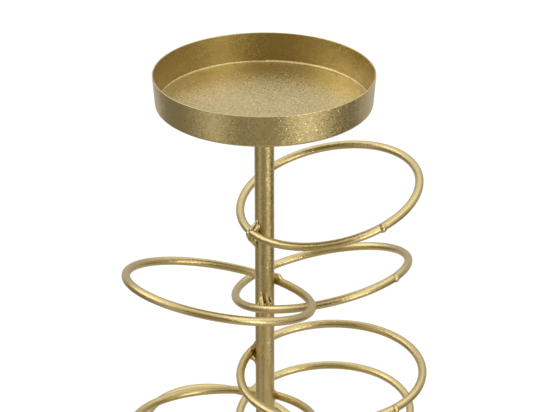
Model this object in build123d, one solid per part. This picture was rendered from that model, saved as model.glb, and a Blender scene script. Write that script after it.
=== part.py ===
"""Ring candle holder: a pressed pan on a tube stem, wire rings tacked round the stem, a round base on felt.

Millimetres and degrees, +Z up. The origin is the centre of the felt's underside, on the stem's axis.
Everything but the felt is steel, welded together and gilded, so nothing on the object moves.
"""
from build123d import *
import math
import os
from typing import NamedTuple

# Floor to rim
overall_height = 330.0

# Base and felt
base_diameter = 127.0
base_thickness = 4.0
base_edge_radius = 1.5
felt_thickness = 1.5
felt_inset = 6.0

# Stem
stem_diameter = 10.4
stem_wall = 1.2

# Candle pan, pressed from one sheet with a drafted wall
pan_diameter = 114.0
pan_height = 16.8
pan_draft = 4.0
pan_sheet = 0.7
pan_corner_radius = 1.0
pan_rim_radius = 0.25

# Wire rings: each is a bar bent round until its ends meet in a butt weld, which stands a little proud
ring_diameter = 102.5
wire_diameter = 4.5
butt_upset = 0.3
butt_offset = 0.6

# Height of each ring's weld above the weld below, and of the lowest, ring_8, above the base
ring_8_rise = 41.5
ring_7_rise = 31.0
ring_6_rise = 29.7
ring_5_rise = 25.3
ring_4_rise = 30.9
ring_3_rise = 31.4
ring_2_rise = 11.5
ring_1_rise = 33.6

# Welds that join the rings, the stem, the pan and the base
weld_gap = 0.2
ring_gap = 0.1
tack_diameter = 7.0
tack_tail_diameter = 5.0
tack_spread = 4.0
ring_3_tack_shift = 4.0
ring_2_tack_shift = -2.5
fillet_leg = 3.0
fillet_hollow = 0.4
seat_tolerance = 0.0001


class Ring(NamedTuple):
    """How one ring is welded on: it goes round the stem and touches it at one spot."""

    rise: float  # height of its weld above the weld below
    bearing: float  # direction of the weld from the stem, anticlockwise from +X
    lean: float  # slope of the wire where it meets the stem
    pitch: float  # slope of the ring from its weld up to its far side
    butt: float  # place of the wire's own butt weld, degrees round from the tack
    tack_shift: float = 0.0  # place of the tack along the wire, from the spot nearest the stem


# Listed from the foot up: the first is ring_8, the last is ring_1
rings_from_foot = [
    Ring(ring_8_rise, bearing=140.0, lean=5.0, pitch=6.0, butt=200.0),
    Ring(ring_7_rise, bearing=305.0, lean=-7.0, pitch=9.0, butt=130.0),
    Ring(ring_6_rise, bearing=214.0, lean=1.1, pitch=3.6, butt=60.0),
    Ring(ring_5_rise, bearing=58.0, lean=-6.0, pitch=9.0, butt=110.0),
    Ring(ring_4_rise, bearing=149.7, lean=-2.2, pitch=1.2, butt=160.0),
    Ring(ring_3_rise, bearing=219.5, lean=16.7, pitch=2.2, butt=104.0, tack_shift=ring_3_tack_shift),
    Ring(ring_2_rise, bearing=52.7, lean=0.5, pitch=16.9, butt=8.0, tack_shift=ring_2_tack_shift),
    Ring(ring_1_rise, bearing=209.6, lean=0.4, pitch=13.2, butt=92.0),
]

# Sizes that follow from the ones above
stem_radius = stem_diameter / 2
wire_radius = wire_diameter / 2
ring_radius = ring_diameter / 2 - wire_radius
base_top = felt_thickness + base_thickness

# Round stock drawn standing on its lower face
standing = (Align.CENTER, Align.CENTER, Align.MIN)


def felt_pad():
    """Felt disc glued under the base."""
    return Cylinder(base_diameter / 2 - felt_inset, felt_thickness, align=standing)


def base_plate():
    """Round plate with its upper edge rounded."""
    plate = Cylinder(base_diameter / 2, base_thickness, align=standing)
    upper_edge = plate.edges().sort_by(Axis.Z)[-1]
    return Pos(0, 0, felt_thickness) * fillet(upper_edge, base_edge_radius)


def stem_tube(length):
    """Round tube that stands on the base and butts against the pan."""
    outside = Cylinder(stem_radius, length, align=standing)
    bore = Cylinder(stem_radius - stem_wall, length, align=standing)
    return Pos(0, 0, base_top) * (outside - bore)


def candle_pan(underside):
    """Shallow dish: the sheet's section from the axis out along the floor and up the wall, revolved."""
    rim_radius = pan_diameter / 2
    foot_radius = rim_radius - pan_height * math.tan(math.radians(pan_draft))
    wall_width = pan_sheet / math.cos(math.radians(pan_draft))
    inner_foot = foot_radius - wall_width + pan_sheet * math.tan(math.radians(pan_draft))
    section = make_face(
        Polyline(
            (0, 0),
            (foot_radius, 0),
            (rim_radius, pan_height),
            (rim_radius - wall_width, pan_height),
            (inner_foot, pan_sheet),
            (0, pan_sheet),
            close=True,
        )
    )
    rim = section.vertices().group_by(Axis.Y)[-1]
    section = fillet(rim, min(pan_rim_radius, 0.45 * pan_sheet))
    inner_corner = section.vertices().sort_by_distance((inner_foot, pan_sheet))[0]
    section = fillet(inner_corner, pan_corner_radius)
    outer_corner = section.vertices().sort_by_distance((foot_radius, 0))[0]
    section = fillet(outer_corner, pan_corner_radius + pan_sheet)
    return Pos(0, 0, underside) * revolve(Plane.XZ * section, Axis.Z)


def ring_place(ring, weld_height):
    """The ring's own frame: origin at its centre, +X towards its weld, +Z square to its plane."""
    seat = stem_radius + weld_gap + wire_radius
    at_weld = Pos(0, 0, weld_height) * Rot(0, 0, ring.bearing) * Pos(seat, 0, 0)
    return at_weld * Rot(ring.lean, 0, 0) * Rot(0, ring.pitch, 0) * Pos(-ring_radius, 0, 0)


def ring_path(ring, weld_height):
    """Centreline of the ring's wire."""
    return ring_place(ring, weld_height) * Edge.make_circle(ring_radius)


def lift_needed(ring, weld_height, paths_below):
    """How far the ring's wire is from lying clear on the nearest wire below; nothing where it already is."""
    path = ring_path(ring, weld_height)
    clearances = [path.distance_to(lower) - wire_diameter - ring_gap for lower in paths_below]
    return -min(clearances, default=0.0)


def seated_heights(rings):
    """Weld heights from the foot up: each its rise above the last, lifted clear of the rings below."""
    heights = []
    height = base_top
    for ring in rings:
        height += ring.rise
        paths_below = [ring_path(lower, seat) for lower, seat in zip(rings, heights)]
        shortfall = lift_needed(ring, height, paths_below)
        while shortfall > seat_tolerance:
            height += shortfall
            shortfall = lift_needed(ring, height, paths_below)
        heights.append(height)
    return heights


def wire_ring(ring, weld_height):
    """Wire bent to a circle, with the upset of its own butt weld, which bulges most on the outside."""
    hoop = Torus(ring_radius, wire_radius)
    upset = Rot(0, 0, ring.butt) * Pos(ring_radius + butt_offset, 0, 0) * Sphere(wire_radius + butt_upset)
    return ring_place(ring, weld_height) * (hoop + upset)


def tack_blank():
    """Dab of weld metal: a heart, a tail up the stem and a tail down it, seamed on the stem's side."""
    heart = Sphere(tack_diameter / 2)
    upper_tail = Pos(0, 0, tack_spread) * Sphere(tack_tail_diameter / 2)
    lower_tail = Pos(0, 0, -tack_spread) * Sphere(tack_tail_diameter / 2)
    return Rot(0, 0, 180) * (heart + upper_tail + lower_tail)


def ring_weld(ring, weld_height):
    """Tack between wire and stem: the dab less the room of both, so that it fills the gap between them."""
    at_tack = ring_place(ring, weld_height) * Rot(0, 0, math.degrees(ring.tack_shift / ring_radius))
    tack = (at_tack * Pos(ring_radius, 0, 0)).position
    wire_inside = math.hypot(tack.X, tack.Y) - wire_radius
    facing = Pos(0, 0, tack.Z) * Rot(0, 0, math.degrees(math.atan2(tack.Y, tack.X)))
    dab = facing * Pos((stem_radius + wire_inside) / 2, 0, 0) * tack_blank()
    stem = facing * Rot(0, 0, 180) * Cylinder(stem_radius, 4 * tack_diameter)
    wire_turn = math.degrees(4 * tack_diameter / ring_radius)
    bar = Torus(ring_radius, wire_radius, major_angle=wire_turn, align=None)
    return dab - stem - at_tack * Rot(0, 0, -wire_turn / 2) * bar


def fillet_weld():
    """Bead round the stem on a flat face below it: a right angle with a hollow flank, revolved."""
    toe = stem_radius + fillet_leg
    throat = fillet_leg * fillet_hollow
    flank = ThreePointArc((toe, 0), (stem_radius + throat, throat), (stem_radius, fillet_leg))
    along_face = Line((stem_radius, 0), (toe, 0))
    along_stem = Line((stem_radius, fillet_leg), (stem_radius, 0))
    section = make_face([along_face, flank, along_stem])
    return revolve(Plane.XZ * section, Axis.Z)


def candle_holder():
    """Every piece by its node name."""
    heights = seated_heights(rings_from_foot)
    pan_underside = overall_height - pan_height
    pieces = {
        "felt_pad": felt_pad(),
        "base_plate": base_plate(),
        "stem_tube": stem_tube(pan_underside - base_top),
        "candle_pan": candle_pan(pan_underside),
        "base_weld": Pos(0, 0, base_top) * fillet_weld(),
        "pan_weld": Pos(0, 0, pan_underside) * Rot(180, 0, 0) * fillet_weld(),
    }
    from_top = list(zip(rings_from_foot, heights))[::-1]
    for number, (ring, height) in enumerate(from_top, start=1):
        pieces[f"ring_{number}"] = wire_ring(ring, height)
        pieces[f"ring_weld_{number}"] = ring_weld(ring, height)
        print(f"ring_{number}: weld {height:.2f} above the floor")
    headroom = pan_underside - heights[-1]
    print(f"pan underside {pan_underside:.2f} above the floor, {headroom:.2f} above ring_1's weld")
    return pieces


os.makedirs("parts", exist_ok=True)
for node, piece in candle_holder().items():
    export_step(piece, f"parts/{node}.step")
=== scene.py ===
# %% [markdown]
# # A gilded ring candle holder
#
# The object is a shallow pan on a slim stem. Closed wire rings are tacked round the stem, one above
# another, and all of it is sprayed with the same satin gold paint. This lesson starts from the packed
# model, which already has every piece at its real size, and adds what that model can't hold: the paint,
# the lumpy weld metal, the light and the camera.

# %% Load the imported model
import math
import random

import bmesh
import bpy
import numpy as np
from mathutils import Matrix, Vector, noise


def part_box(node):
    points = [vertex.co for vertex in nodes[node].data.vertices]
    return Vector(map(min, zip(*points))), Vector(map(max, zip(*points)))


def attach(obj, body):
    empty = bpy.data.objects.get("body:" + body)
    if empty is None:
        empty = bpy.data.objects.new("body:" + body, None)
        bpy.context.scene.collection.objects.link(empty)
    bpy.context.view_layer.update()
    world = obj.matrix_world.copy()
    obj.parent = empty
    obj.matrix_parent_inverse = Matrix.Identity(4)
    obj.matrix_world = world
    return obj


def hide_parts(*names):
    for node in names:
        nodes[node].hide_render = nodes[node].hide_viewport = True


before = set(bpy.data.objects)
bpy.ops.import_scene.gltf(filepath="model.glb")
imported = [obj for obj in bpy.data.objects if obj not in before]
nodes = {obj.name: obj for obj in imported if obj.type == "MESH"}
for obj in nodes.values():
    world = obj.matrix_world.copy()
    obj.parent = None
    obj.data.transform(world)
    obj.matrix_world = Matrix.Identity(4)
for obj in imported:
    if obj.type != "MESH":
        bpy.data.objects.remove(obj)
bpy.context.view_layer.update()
MM = 0.001
print("pieces in the frame:", ", ".join(sorted(nodes)))

# %% [markdown]
# ## Sizes that the frame gives
#
# Nothing is measured twice. The pan's box gives the rim, the stem's box gives the stem's thickness, and
# the rings are whatever is called ring_ and a number.

# %% Read the frame
pan_low, pan_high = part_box("candle_pan")
stem_low, stem_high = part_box("stem_tube")
RIM_HEIGHT = pan_high.z
STEM_RADIUS = (stem_high.x - stem_low.x) / 2
RING_COUNT = sum(name.startswith("ring_") and not name.startswith("ring_weld") for name in nodes)
print(f"rim {RIM_HEIGHT:.4f} m up, stem radius {STEM_RADIUS:.4f} m, {RING_COUNT} rings")

# %% [markdown]
# ## Writing shaders as sums
#
# A shader is a graph, but most of it is arithmetic. A small class that wraps one output lets that
# arithmetic be written as Python: `1 - mask` adds a Math node and wires it up. Every other node comes
# from one method, which sets the node's own settings first, because some of them change which sockets it
# has.


# %% A socket that can be added and multiplied
class Socket:
    """One output of a shader node. Arithmetic on it adds Math nodes to the same tree."""

    def __init__(self, tree, output):
        self.tree = tree
        self.output = output

    @classmethod
    def node(cls, tree, kind, settings, inputs, output=0):
        """Adds a node, sets it, fills or links its sockets and returns one output."""
        made = tree.nodes.new("ShaderNode" + kind)
        for name, value in settings.items():
            setattr(made, name, value)
        for name, value in inputs.items():
            if isinstance(value, Socket):
                tree.links.new(value.output, made.inputs[name])
            else:
                made.inputs[name].default_value = value
        return cls(tree, made.outputs[output])

    def math(self, operation, left, right):
        return Socket.node(self.tree, "Math", {"operation": operation}, {0: left, 1: right})

    def __add__(self, other):
        return self.math("ADD", self, other)

    def __radd__(self, other):
        return self.math("ADD", other, self)

    def __sub__(self, other):
        return self.math("SUBTRACT", self, other)

    def __rsub__(self, other):
        return self.math("SUBTRACT", other, self)

    def __mul__(self, other):
        return self.math("MULTIPLY", self, other)

    def __rmul__(self, other):
        return self.math("MULTIPLY", other, self)

    def __truediv__(self, other):
        return self.math("DIVIDE", self, other)

    def __rtruediv__(self, other):
        return self.math("DIVIDE", other, self)

    def __pow__(self, other):
        return self.math("POWER", self, other)

    def __rpow__(self, other):
        return self.math("POWER", other, self)


def step(value, low, high):
    """0 at low, 1 at high, and a smooth rise between them. Low may lie above high."""
    smooth = {"interpolation_type": "SMOOTHSTEP"}
    return Socket.node(value.tree, "MapRange", smooth, {0: value, 1: low, 2: high})


def mix_colour(factor, first, second):
    """From the first colour to the second as the factor goes from 0 to 1."""
    return Socket.node(factor.tree, "Mix", {"data_type": "RGBA"}, {0: factor, 6: first, 7: second}, 2)


def vector_sum(first, second):
    return Socket.node(first.tree, "VectorMath", {"operation": "ADD"}, {0: first, 1: second})


def vector_scale(vector, amount):
    return Socket.node(vector.tree, "VectorMath", {"operation": "SCALE"}, {0: vector, "Scale": amount})


def unit(vector):
    """The same direction, one long."""
    return Socket.node(vector.tree, "VectorMath", {"operation": "NORMALIZE"}, {0: vector})


def separate(vector):
    """The three numbers of a vector."""
    return [Socket.node(vector.tree, "SeparateXYZ", {}, {0: vector}, axis) for axis in "XYZ"]


def noise_of(place, size, detail):
    """Noise whose blotches are about as large as the size."""
    return Socket.node(place.tree, "TexNoise", {}, {"Vector": place, "Scale": 1 / size, "Detail": detail})


def new_material(name):
    """An empty node tree with its output node."""
    material = bpy.data.materials.new(name)
    material.use_nodes = True
    material.node_tree.nodes.clear()
    output = material.node_tree.nodes.new("ShaderNodeOutputMaterial")
    return material, material.node_tree, output


print("shader sums are ready")

# %% [markdown]
# ## Satin gold paint
#
# The paint is a clear binder full of metal flakes. A smooth metal with one roughness looks like brass,
# and a bump of noise looks like cast iron. Real flakes are tiny flat mirrors, each lying a little askew,
# so the shader gives each cell of a fine Voronoi pattern its own tilt of the normal. A second random
# number says how far a flake tilts: taken from the first, all the steep flakes would lean the same way.
# Where a lamp's reflection ends, some flakes still catch it and some don't, and that is the sparkle in
# the photo. A slow noise adds the patches where the spray lies thinner, and a gentle bump adds its orange
# peel.

# %% Gold paint
GOLD = (0.60, 0.478, 0.212, 1.0)
GOLD_DEEP = (0.47, 0.362, 0.13, 1.0)
FLAKE_SIZE = 0.44 * MM
FLAKE_CENTRED = (-0.5, -0.5, -0.5)
FLAKE_TILT = 0.12
GLINT_TILT = 0.42
GLINT_RARITY = 3.0
FLAKE_SHADE = 0.25
FLAKE_POLISH = 0.08
PATCH_SIZE = 14 * MM
PATCH_EDGE = (0.62, 0.38)
PATCH_DULLNESS = 0.3
DULL_ROUGHNESS = 0.1
PEEL_SIZE = 2.2 * MM
PEEL_DEPTH = 0.2 * MM
PEEL_STRENGTH = 0.05
BINDER_GLOSS = 0.7
BINDER_ROUGHNESS = 0.25


def gold_paint(name, roughness=0.30, patchy=1.0, sparkle=1.0, wear_and_shade=None):
    """Metal flakes askew in a clear binder. Patchy is how uneven the spray is, and wear_and_shade adds real
    wear and painted shade to it.
    """
    material, tree, output = new_material(name)
    place = Socket.node(tree, "TexCoord", {}, {}, "Object")
    surface = Socket.node(tree, "NewGeometry", {}, {}, "Normal")
    flake = Socket.node(tree, "TexVoronoi", {}, {"Vector": place, "Scale": 1 / FLAKE_SIZE}, "Color")
    chance = Socket.node(tree, "TexWhiteNoise", {}, {"Vector": flake}, "Value")
    tilt = chance ** GLINT_RARITY * (GLINT_TILT * sparkle) + FLAKE_TILT * sparkle
    askew = vector_scale(vector_sum(flake, FLAKE_CENTRED), tilt)
    dull_and_shade = step(noise_of(place, PATCH_SIZE, detail=4.0), *PATCH_EDGE) * (PATCH_DULLNESS * patchy)
    # What wear_and_shade brings can be painted shade, which darkens the base colour as well as dulling it.
    if wear_and_shade:
        dull_and_shade = dull_and_shade + wear_and_shade(place, surface)
    peel = {
        "Strength": PEEL_STRENGTH,
        "Distance": PEEL_DEPTH,
        "Height": noise_of(place, PEEL_SIZE, detail=2.0),
        "Normal": unit(vector_sum(surface, askew)),
    }
    shader = Socket.node(
        tree,
        "BsdfPrincipled",
        {},
        {
            "Base Color": mix_colour(dull_and_shade + (1 - chance) * FLAKE_SHADE, GOLD, GOLD_DEEP),
            "Metallic": 1.0,
            "Roughness": dull_and_shade * DULL_ROUGHNESS - chance * FLAKE_POLISH + (roughness + FLAKE_POLISH / 2),
            "Coat Weight": BINDER_GLOSS,
            "Coat Roughness": BINDER_ROUGHNESS,
            "Normal": Socket.node(tree, "Bump", {}, peel),
        },
    )
    tree.links.new(shader.output, output.inputs["Surface"])
    return material


print(f"paint: flakes of {FLAKE_SIZE / MM:.2f} mm, thin patches of {PATCH_SIZE / MM:.0f} mm")

# %% [markdown]
# ## Wear and painted shade in the pan
#
# The pan's floor shows smudges and fine scuffs from handling. The inside of its wall gets painted shade:
# its paint is made darker and duller there to stand in for shade. A painted mask would have to be
# unwrapped, so the shader tells these places apart by the way the surface faces: upwards on the floor,
# towards the axis inside the wall.

# %% Wear and painted shade in the pan
SMUDGE_SIZE = 9 * MM
SMUDGE_EDGE = (0.52, 0.66)
SMUDGE_DULLNESS = 0.3
SCUFF_SIZE = 1.6 * MM
SCUFF_STRETCH = (0.3, 1.0, 1.0)
SCUFF_EDGE = (0.76, 0.82)
SCUFF_DULLNESS = 0.8
# Painted shade inside the pan's wall: how far its paint goes darker and duller to stand in for shade.
WALL_PAINTED_SHADE = 0.4
FACING_AXIS = (0.3, 0.9)
FACING_UP = (0.8, 0.98)


def pan_wear_and_shade(place, surface):
    """Dullness of the pan: painted shade inside its wall, and smudges and scuffs on its floor."""
    x, y, _ = separate(place)
    normal_x, normal_y, normal_z = separate(surface)
    inwards = (normal_x * x + normal_y * y) / (x * x + y * y) ** 0.5 * -1
    along = Socket.node(place.tree, "Mapping", {}, {"Vector": place, "Scale": SCUFF_STRETCH})
    smudge = step(noise_of(place, SMUDGE_SIZE, detail=5.0), *SMUDGE_EDGE) * SMUDGE_DULLNESS
    scuff = step(noise_of(along, SCUFF_SIZE, detail=1.0), *SCUFF_EDGE) * SCUFF_DULLNESS
    # The inside of the wall gets painted shade: darker, duller paint that stands in for the shade there.
    return step(inwards, *FACING_AXIS) * WALL_PAINTED_SHADE + step(normal_z, *FACING_UP) * (smudge + scuff)


gold_pan = gold_paint("gold_paint_pan", wear_and_shade=pan_wear_and_shade)
gold_base = gold_paint("gold_paint_base", roughness=0.5, patchy=1.4)
gold_stem = gold_paint("gold_paint_stem", patchy=0.6)
gold_wire = gold_paint("gold_paint_wire", patchy=0.5, sparkle=0.6)
gold_weld = gold_paint("gold_paint_weld", roughness=0.25, patchy=0.4, sparkle=0.6)
print("gold paints:", [m.name for m in (gold_pan, gold_base, gold_stem, gold_wire, gold_weld)])

# %% [markdown]
# ## Felt under the base
#
# The felt is pressed wool: no weave, only short fibres lying every way. Two noises, stretched at right
# angles, read as fibres, and the shader's sheen gives the pale bloom that felt shows at a low angle.

# %% Felt
FELT_DARK = (0.018, 0.016, 0.015, 1.0)
FELT_LIGHT = (0.05, 0.046, 0.042, 1.0)
FIBRE_SIZE = 0.35 * MM
FIBRE_STRETCH = 0.25
FIBRE_EDGE = (0.35, 0.65)
FIBRE_DEPTH = 0.2 * MM
FIBRE_STRENGTH = 0.6


def felt(name):
    """Pressed wool felt: matt, with fibres in its colour and its bump."""
    material, tree, output = new_material(name)
    place = Socket.node(tree, "TexCoord", {}, {}, "Object")
    layers = []
    for stretch in ((1.0, FIBRE_STRETCH, 1.0), (FIBRE_STRETCH, 1.0, 1.0)):
        way = Socket.node(tree, "Mapping", {}, {"Vector": place, "Scale": stretch})
        layers.append(noise_of(way, FIBRE_SIZE, detail=3.0))
    wool = (layers[0] + layers[1]) * 0.5
    nap = {"Strength": FIBRE_STRENGTH, "Distance": FIBRE_DEPTH, "Height": wool}
    shader = Socket.node(
        tree,
        "BsdfPrincipled",
        {},
        {
            "Base Color": mix_colour(step(wool, *FIBRE_EDGE), FELT_DARK, FELT_LIGHT),
            "Roughness": 0.95,
            "Sheen Weight": 0.4,
            "Sheen Roughness": 0.5,
            "Normal": Socket.node(tree, "Bump", {}, nap),
        },
    )
    tree.links.new(shader.output, output.inputs["Surface"])
    return material


felt_wool = felt("felt_wool")
print("felt:", felt_wool.name)

# %% [markdown]
# ## Painting the pieces
#
# The holder was sprayed after it was welded, so all its metal shares one paint. It could be one material,
# but spray lies differently on a flat pan, on thin wire and on lumpy weld metal, so each gets its own
# mixture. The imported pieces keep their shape, and only their material slots change.


# %% Give each piece its finish
def finish_of(name):
    """The finish that a piece is sprayed or made with."""
    if name == "felt_pad":
        return felt_wool
    if name.endswith("_weld") or name.startswith("ring_weld"):
        return gold_weld
    if name.startswith("ring_"):
        return gold_wire
    return {"stem_tube": gold_stem, "base_plate": gold_base}.get(name, gold_pan)


for name, node in nodes.items():
    for material_slot in node.material_slots:
        material_slot.material = finish_of(name)
print("finished pieces:", len(nodes))

# %% [markdown]
# ## Tack welds between rings and stem
#
# Each ring is held by one short tack: the welder feeds wire into the corner, and the metal freezes in
# strands that climb the stem and sag below the ring. Spheres alone look like beads of putty, and sculpted
# noise has no direction. So each strand is a chain of dabs that thins out towards its tip. Voxel
# remeshing melts the chains of one tack into a single skin, a few rounds of smoothing round off the
# steps, and a little noise along the normals leaves the surface uneven.


# %% Where a tack sits
def tack_place(number):
    """Bearing of a tack from the stem's axis, and its height."""
    points = np.array([v.co for v in nodes[f"ring_weld_{number}"].data.vertices])
    low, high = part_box(f"ring_weld_{number}")
    middle = points.mean(0)
    return math.atan2(middle[1], middle[0]), (low.z + high.z) / 2


print("tack 1: bearing %.1f degrees, %.4f m up" % (math.degrees(tack_place(1)[0]), tack_place(1)[1]))

# %% Fill a strand with dabs
DAB_SPACING = 0.4


def strand(dabs):
    """Fills the spaces between a strand's dabs. A dab is (around, out, up, radius) in millimetres."""
    filled = []
    for start, end in zip(dabs, dabs[1:]):
        gap = math.dist(start[:3], end[:3])
        steps = max(1, math.ceil(gap / (DAB_SPACING * min(start[3], end[3]))))
        for i in range(steps):
            filled.append([a + (b - a) * i / steps for a, b in zip(start, end)])
    return filled + [list(dabs[-1])]


print("dabs of a strand lie", DAB_SPACING, "of a radius apart")

# %% Melt the strands of a tack into one piece
VOXEL = 0.24 * MM
SMOOTHING = 5
UNEVENNESS = 0.10 * MM
UNEVEN_SIZE = 1.3 * MM


def piece_from(name, shape):
    """Turns a finished bmesh into an object in the scene."""
    mesh = bpy.data.meshes.new(name)
    shape.to_mesh(mesh)
    shape.free()
    piece = bpy.data.objects.new(name, mesh)
    bpy.context.scene.collection.objects.link(piece)
    return piece


def skin_round(piece):
    """Gives a piece one rounded skin in place of its overlapping dabs."""
    remesh = piece.modifiers.new("melt", "REMESH")
    remesh.mode = "VOXEL"
    remesh.voxel_size = VOXEL
    smooth = piece.modifiers.new("round_off", "SMOOTH")
    smooth.iterations = SMOOTHING
    skin = bpy.data.meshes.new_from_object(piece.evaluated_get(bpy.context.evaluated_depsgraph_get()))
    piece.modifiers.clear()
    piece.data = skin
    skin.name = piece.name
    return skin


def melted(name, dabs, bearing, height):
    """One skin round many dabs, uneven as frozen weld metal is. Around is measured on the stem's skin."""
    shape = bmesh.new()
    for around, out, up, radius in dabs:
        angle = bearing + around * MM / STEM_RADIUS
        reach = STEM_RADIUS + out * MM
        centre = Vector((reach * math.cos(angle), reach * math.sin(angle), height + up * MM))
        place = Matrix.Translation(centre)
        bmesh.ops.create_icosphere(shape, subdivisions=2, radius=radius * MM, matrix=place)
    piece = piece_from(name, shape)
    skin = skin_round(piece)
    normals = [v.normal.copy() for v in skin.vertices]
    for vertex, normal in zip(skin.vertices, normals):
        vertex.co += normal * noise.noise(vertex.co / UNEVEN_SIZE) * UNEVENNESS
    skin.shade_smooth()
    skin.materials.clear()
    skin.materials.append(gold_weld)
    return piece


print(f"weld metal melts in voxels of {VOXEL / MM:.2f} mm")

# %% [markdown]
# ## Strands read off the photo
#
# Four tacks can be seen well enough to count their strands, and chance would give others. So these are
# listed dab by dab, from the ring outwards: how far a dab lies round the stem, how far out from
# it, how far up, and its radius.

# %% Strands of the tacks in the photo
TACKS = {
    1: [
        [(0.0, 2.4, 1.2, 2.1), (0.6, 1.5, 3.4, 1.6), (1.1, 0.8, 5.2, 1.1), (1.5, 0.2, 7.0, 0.7)],
        [(1.6, 2.2, 1.2, 1.3), (2.2, 1.3, 2.8, 1.0), (2.8, 0.3, 4.6, 0.7)],
        [(-0.5, 3.2, -0.8, 2.4), (-0.2, 2.8, -3.2, 2.1), (0.3, 1.7, -5.4, 1.6), (0.6, 0.4, -8.6, 0.8)],
        [(0.8, 2.6, -2.4, 1.4), (1.5, 2.3, -3.8, 1.1)],
    ],
    2: [
        [(-1.5, 3.6, 1.2, 1.9), (-0.6, 2.9, 2.4, 2.2), (0.3, 1.8, 2.8, 2.1), (0.9, 0.8, 3.4, 1.6)],
        [(0.1, 2.6, -1.8, 0.9)],
        [(-2.2, 5.0, -1.8, 0.8)],
    ],
    3: [
        [(1.2, 3.6, 2.3, 1.6), (0.9, 2.4, 4.2, 1.5), (0.6, 1.1, 6.2, 1.1), (0.3, 0.3, 8.4, 0.65)],
        [(3.5, 3.0, 2.4, 1.1), (3.2, 1.9, 4.4, 1.0), (2.9, 1.0, 6.4, 0.8), (2.7, 0.3, 8.0, 0.6)],
        [(5.2, 1.4, 2.8, 0.9), (5.1, 0.4, 4.8, 0.6)],
        [(0.2, 1.8, 1.5, 1.7), (2.6, 1.6, 1.6, 1.5), (4.6, 1.0, 1.6, 1.2)],
        [(0.8, 2.2, -1.2, 1.9), (1.4, 1.2, -2.6, 1.4), (1.8, 0.3, -3.8, 0.8)],
    ],
    4: [
        [(0.6, 1.9, 1.6, 1.8), (1.6, 0.9, 3.4, 1.4), (2.1, 0.4, 5.2, 0.9), (2.4, 0.1, 7.0, 0.6)],
        [
            (2.6, 3.1, -1.4, 1.7), (2.7, 1.8, -2.4, 1.8), (2.7, 0.7, -3.2, 1.7),
            (2.7, 0.1, -5.0, 0.8), (2.7, 0.0, -6.6, 0.5),
        ],
        [(-1.2, 1.5, -1.8, 1.7), (0.4, 1.1, -2.4, 1.6), (0.8, 0.8, -3.4, 1.3)],
    ],
}
print("strands by hand:", {number: len(strands) for number, strands in TACKS.items()})

# %% [markdown]
# ## Tacks below the picture
#
# The picture ends above the lower tacks, so nothing says how their strands lie. They are drawn by chance
# within what the upper ones show, each from a seed of its own, so that every run lays the same tacks.

# %% Strands of the tacks below the picture
STRAND_STARTS = (-1.0, 1.2)
STRAND_LEAN = (-0.5, 0.5)
STRAND_CLIMB = (4.8, 7.4)
STRAND_SAG = (5.0, 7.4)


def tack_by_chance(number):
    """Two strands up the stem and one down it, from a seed of the tack's own."""
    draw = random.Random(number)
    strands = []
    for start in STRAND_STARTS:
        lean = draw.uniform(*STRAND_LEAN)
        height = draw.uniform(*STRAND_CLIMB)
        middle = (start + lean, 1.3, 0.55 * height, 1.3)
        strands.append([(start, 2.2, 1.2, 1.6), middle, (start + 2 * lean, 0.3, height, 0.7)])
    depth = draw.uniform(*STRAND_SAG)
    strands.append([(-0.5, 2.6, -1.2, 2.0), (-0.2, 1.9, -0.5 * depth, 1.7), (0.3, 0.4, -depth, 0.8)])
    return strands


print("strands by chance:", RING_COUNT - len(TACKS), "tacks")

# %% Lay the tacks
for number in range(1, RING_COUNT + 1):
    strands = TACKS.get(number) or tack_by_chance(number)
    dabs = [dab for chain in strands for dab in strand(chain)]
    tack = melted(f"tack_{number}", dabs, *tack_place(number))
    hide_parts(f"ring_weld_{number}")
    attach(tack, "root")
    print(tack.name, len(tack.data.polygons), "faces from", len(dabs), "dabs")

# %% [markdown]
# ## Weld beads at the stem's ends
#
# A bead laid round a tube shows a ripple for each pulse of the welder's hand: overlapping scales, each a
# little higher at its front. The bead is swept as a ring of sections. Along the ring a saw-tooth swells
# the section slowly and drops it quickly, and chance makes no two scales alike.

# %% Rippled beads
BEAD_LEG = 3.0 * MM
BEAD_SCALES = 17
BEAD_STEPS = 12
BEAD_SECTION = 9
BEAD_ROOT = 0.6 * MM
BEAD_SWELL = (0.75, 1.05)
BEAD_HOLLOW = 0.8
RIPPLE = 0.14
RIPPLE_CREST = 0.75
RIPPLE_DROP = 8


def bead_leg(swell, i):
    """Leg of the bead at one section: each scale has its own swell, and a saw-tooth ripples it."""
    scale, phase = divmod(i, BEAD_STEPS)
    turn = phase / BEAD_STEPS
    size = swell[scale] + (swell[(scale + 1) % BEAD_SCALES] - swell[scale]) * turn
    ripple = RIPPLE * turn * (1 - RIPPLE_DROP * max(turn - RIPPLE_CREST, 0))
    return BEAD_LEG * size * (1 - RIPPLE + ripple)


def bead_section(leg):
    """Hollow fillet with its root sunk into the stem and the face, as radius and rise."""
    section = []
    for j in range(BEAD_SECTION):
        bend = math.pi / 2 * j / (BEAD_SECTION - 1)
        across = leg * (1 - math.sin(bend)) ** BEAD_HOLLOW
        rise = leg * (1 - math.cos(bend)) ** BEAD_HOLLOW
        section.append((STEM_RADIUS + across, rise))
    inside = STEM_RADIUS - BEAD_ROOT
    return section + [(inside, leg), (inside, -BEAD_ROOT), (STEM_RADIUS + leg, -BEAD_ROOT)]


print(f"bead legs of {BEAD_LEG / MM:.0f} mm in {BEAD_SCALES} scales")


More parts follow.
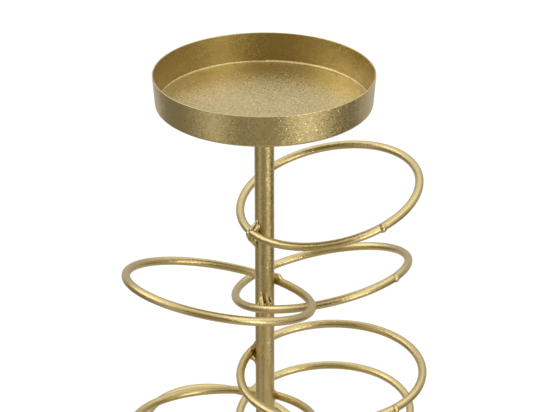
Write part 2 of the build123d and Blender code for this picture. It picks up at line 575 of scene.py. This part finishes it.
# %% Lay the beads
def rippled_bead(name, face_height, upwards):
    """Fillet bead round the stem on a flat face, above it or below it."""
    draw = random.Random(len(name))
    swell = [draw.uniform(*BEAD_SWELL) for _ in range(BEAD_SCALES)]
    rounds = BEAD_SCALES * BEAD_STEPS
    shape = bmesh.new()
    sections = []
    for i in range(rounds):
        angle = 2 * math.pi * i / rounds
        ring = []
        for radius, rise in bead_section(bead_leg(swell, i)):
            height = face_height + (rise if upwards else -rise)
            ring.append(shape.verts.new((radius * math.cos(angle), radius * math.sin(angle), height)))
        sections.append(ring)
    for ring, following in zip(sections, sections[1:] + sections[:1]):
        for j in range(len(ring)):
            k = (j + 1) % len(ring)
            shape.faces.new((ring[j], ring[k], following[k], following[j]))
    bmesh.ops.recalc_face_normals(shape, faces=shape.faces)
    piece = piece_from(name, shape)
    piece.data.shade_smooth()
    piece.data.materials.append(gold_weld)
    return piece


for node_name, face_height, upwards in (
    ("base_weld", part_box("base_plate")[1].z, True),
    ("pan_weld", pan_low.z, False),
):
    bead = rippled_bead(f"{node_name}_bead", face_height, upwards)
    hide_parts(node_name)
    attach(bead, "root")
    print(bead.name, len(bead.data.polygons), "faces")

# %% [markdown]
# ## The studio as a function of direction
#
# Metal shows whatever surrounds it, so most of this paint's look is the studio. The light and dark bands
# in the photo say what stood where: bright boxes high on both sides, a tall white card to the right of
# the camera, a lower one to its left, a weak one low in front, and black cloth round the camera and low
# at both sides. Each of them could be a plane with an emitting material, but planes would stand in the
# way of other views. So one function gives the studio's brightness in any direction: the room itself, dim
# below and bright above, and then a patch with soft edges for each card, with a negative brightness for
# each black flag.

# %% Cards and flags round the object
ROOM_BELOW = 0.58
ROOM_ABOVE = 1.19
ROOM_RISE = (0.29, 0.55)
SOFT_EDGE = 8
WHITE = (1.0, 1.0, 1.0, 1.0)
DIM_TINT = (1.0, 0.91, 0.78, 1.0)
DIM_TO_BRIGHT = (0.3, 1.1)

# Bearing and half width, lower and upper edge in degrees, then brightness. The camera stands at bearing 0.
CARDS = {
    "tall card": (40, 13.5, -46, 61, 1.0),
    "weak card": (10, 14, -66, -4, 0.3),
    "low card": (-29, 26, -33, 2, 0.47),
    "left box": (-99, 28, 13, 49, 1.14),
    "right box": (85, 58, 43, 69, 0.53),
    "camera flag": (6, 47, -49, 60, -0.56),
    "left flag": (-104, 29, -60, 12, -0.31),
    "right flag": (98, 18, -43, -27, -0.87),
}


def sine(degrees):
    return math.sin(math.radians(degrees))


def cosine(degrees):
    return math.cos(math.radians(degrees))


def above(height, edge):
    """From 0 to 1 as a direction rises through a card's lower or upper edge."""
    return step(height, sine(edge - SOFT_EDGE), sine(edge + SOFT_EDGE))


def beside(facing, half_width):
    """From 0 to 1 as a direction turns in through a card's upright edge."""
    return step(facing, cosine(half_width + SOFT_EDGE), cosine(half_width - SOFT_EDGE))


def surroundings(direction):
    """Colour and brightness of the studio in a direction from the object."""
    x, y, z = separate(direction)
    level = (x * x + y * y) ** 0.5
    brightness = step(z, *ROOM_RISE) * (ROOM_ABOVE - ROOM_BELOW) + ROOM_BELOW
    for bearing, half_width, low, high, amount in CARDS.values():
        facing = (x * sine(bearing) - y * cosine(bearing)) / level
        between = above(z, low) * (1 - above(z, high))
        brightness = brightness + beside(facing, half_width) * between * amount
    brightness = brightness.math("MAXIMUM", brightness, 0.0)
    return mix_colour(step(brightness, *DIM_TO_BRIGHT), DIM_TINT, WHITE), brightness


print("cards and flags:", ", ".join(CARDS))

# %% [markdown]
# ## Room, floor and lamp
#
# The camera sees the room as plain white, and glass would too. All other rays see the studio, so that its
# light and its reflections agree. The floor is matt and pale and keeps the object's shadow. In
# reflections it shows the same studio, as if the cards and flags stood on it. One real soft box stands in
# front of the tall card: it is small enough to pick out single flakes, and it gives the shadow a
# direction.


# %% Room
def studio_room():
    """White to the camera, the studio to every other ray."""
    world = bpy.data.worlds.new("studio_room")
    world.use_nodes = True
    tree = world.node_tree
    tree.nodes.clear()
    output = tree.nodes.new("ShaderNodeOutputWorld")
    camera_ray = Socket.node(tree, "LightPath", {}, {}, "Is Camera Ray")
    clear_ray = Socket.node(tree, "LightPath", {}, {}, "Is Transmission Ray")
    direction = Socket.node(tree, "TexCoord", {}, {}, "Generated")
    white = camera_ray + clear_ray
    colour, brightness = surroundings(direction)
    seen = {"Color": mix_colour(white, colour, WHITE), "Strength": white + (1 - white) * brightness}
    light = Socket.node(tree, "Background", {}, seen)
    tree.links.new(light.output, output.inputs["Surface"])
    return world


bpy.context.scene.world = studio_room()
print("room:", bpy.context.scene.world.name, len(bpy.context.scene.world.node_tree.nodes), "nodes")

# %% Floor
FLOOR_SIZE = 12.0
FLOOR_COLOUR = (0.78, 0.78, 0.775, 1.0)
FLOOR_LIFT = 0.12
STUDIO_CENTRE = (pan_low.z + pan_high.z) / 2


def pale_floor(name):
    """Matt floor that holds shadows, lifted to white for the camera, and the studio's in reflections."""
    material, tree, output = new_material(name)
    camera_ray = Socket.node(tree, "LightPath", {}, {}, "Is Camera Ray")
    glossy_ray = Socket.node(tree, "LightPath", {}, {}, "Is Glossy Ray")
    matt = Socket.node(tree, "BsdfDiffuse", {}, {"Color": FLOOR_COLOUR})
    lift = Socket.node(tree, "Emission", {}, {"Color": WHITE, "Strength": camera_ray * FLOOR_LIFT})
    seen = Socket.node(tree, "AddShader", {}, {0: matt, 1: lift})
    place = vector_sum(Socket.node(tree, "TexCoord", {}, {}, "Object"), (0.0, 0.0, -STUDIO_CENTRE))
    colour, brightness = surroundings(unit(place))
    mirrored = Socket.node(tree, "Emission", {}, {"Color": colour, "Strength": brightness})
    both = Socket.node(tree, "MixShader", {}, {0: glossy_ray, 1: seen, 2: mirrored})
    tree.links.new(both.output, output.inputs["Surface"])
    material.cycles.emission_sampling = "NONE"
    return material


half = FLOOR_SIZE / 2
corners = [(-half, -half, 0), (half, -half, 0), (half, half, 0), (-half, half, 0)]
floor_mesh = bpy.data.meshes.new("floor")
floor_mesh.from_pydata(corners, [], [(0, 1, 2, 3)])
floor = bpy.data.objects.new("floor", floor_mesh)
floor.data.materials.append(pale_floor("pale_floor"))
bpy.context.scene.collection.objects.link(floor)
print("floor", FLOOR_SIZE, "m square")


# %% Soft box
def soft_box(name, bearing, distance, height, width, tall, radiance):
    """Upright area lamp round the object: bearing 0 is the camera's side, positive to its right."""
    lamp = bpy.data.lights.new(name, "AREA")
    lamp.shape = "RECTANGLE"
    lamp.size = width
    lamp.size_y = tall
    lamp.energy = radiance * math.pi * width * tall
    holder = bpy.data.objects.new(name, lamp)
    angle = math.radians(bearing)
    holder.location = (distance * math.sin(angle), -distance * math.cos(angle), height)
    aim = Vector((0, 0, STUDIO_CENTRE)) - holder.location
    holder.rotation_euler = aim.to_track_quat("-Z", "Y").to_euler()
    holder.visible_camera = False
    bpy.context.scene.collection.objects.link(holder)
    return holder


soft_box("key_box", bearing=43, distance=1.2, height=0.24, width=0.46, tall=0.34, radiance=4.6)

# %% [markdown]
# ## Camera
#
# The camera stands where the photo was taken from: about 0.9 m from the pan, looking down on it by some
# 22 degrees. The pan's rim and the rings' ellipses fix the angle, and the way the stem narrows fixes the
# distance. The aim is worked out so that the rim's centre lands on its place in the picture.

# %% Camera
PICTURE_WIDTH = 550
PICTURE_HEIGHT = 412
RIM_CENTRE_PIXEL = (263.3, 72.25)
CAMERA_DISTANCE = 0.9031
CAMERA_ELEVATION = math.radians(22.08)
FOCAL_PIXELS = 1772.7
SENSOR_WIDTH = 36.0

rim_centre = Vector((0, 0, RIM_HEIGHT))
back = Vector((0, -math.cos(CAMERA_ELEVATION), math.sin(CAMERA_ELEVATION)))
pixels_right = RIM_CENTRE_PIXEL[0] - PICTURE_WIDTH / 2
pixels_up = PICTURE_HEIGHT / 2 - RIM_CENTRE_PIXEL[1]
yaw = math.atan(pixels_right / FOCAL_PIXELS)
dip = CAMERA_ELEVATION + math.atan(pixels_up / FOCAL_PIXELS)
forward = Vector((-math.sin(yaw) * math.cos(dip), math.cos(yaw) * math.cos(dip), -math.sin(dip)))
camera = bpy.data.objects.new("camera", bpy.data.cameras.new("camera"))
camera.data.sensor_width = SENSOR_WIDTH
camera.data.lens = FOCAL_PIXELS * SENSOR_WIDTH / PICTURE_WIDTH
camera.location = rim_centre + back * CAMERA_DISTANCE
camera.rotation_euler = forward.to_track_quat("-Z", "Y").to_euler()
bpy.context.scene.collection.objects.link(camera)
bpy.context.scene.camera = camera
bpy.context.scene.view_settings.view_transform = "Standard"
print(f"camera {camera.location[:]}, lens {camera.data.lens:.2f} mm")
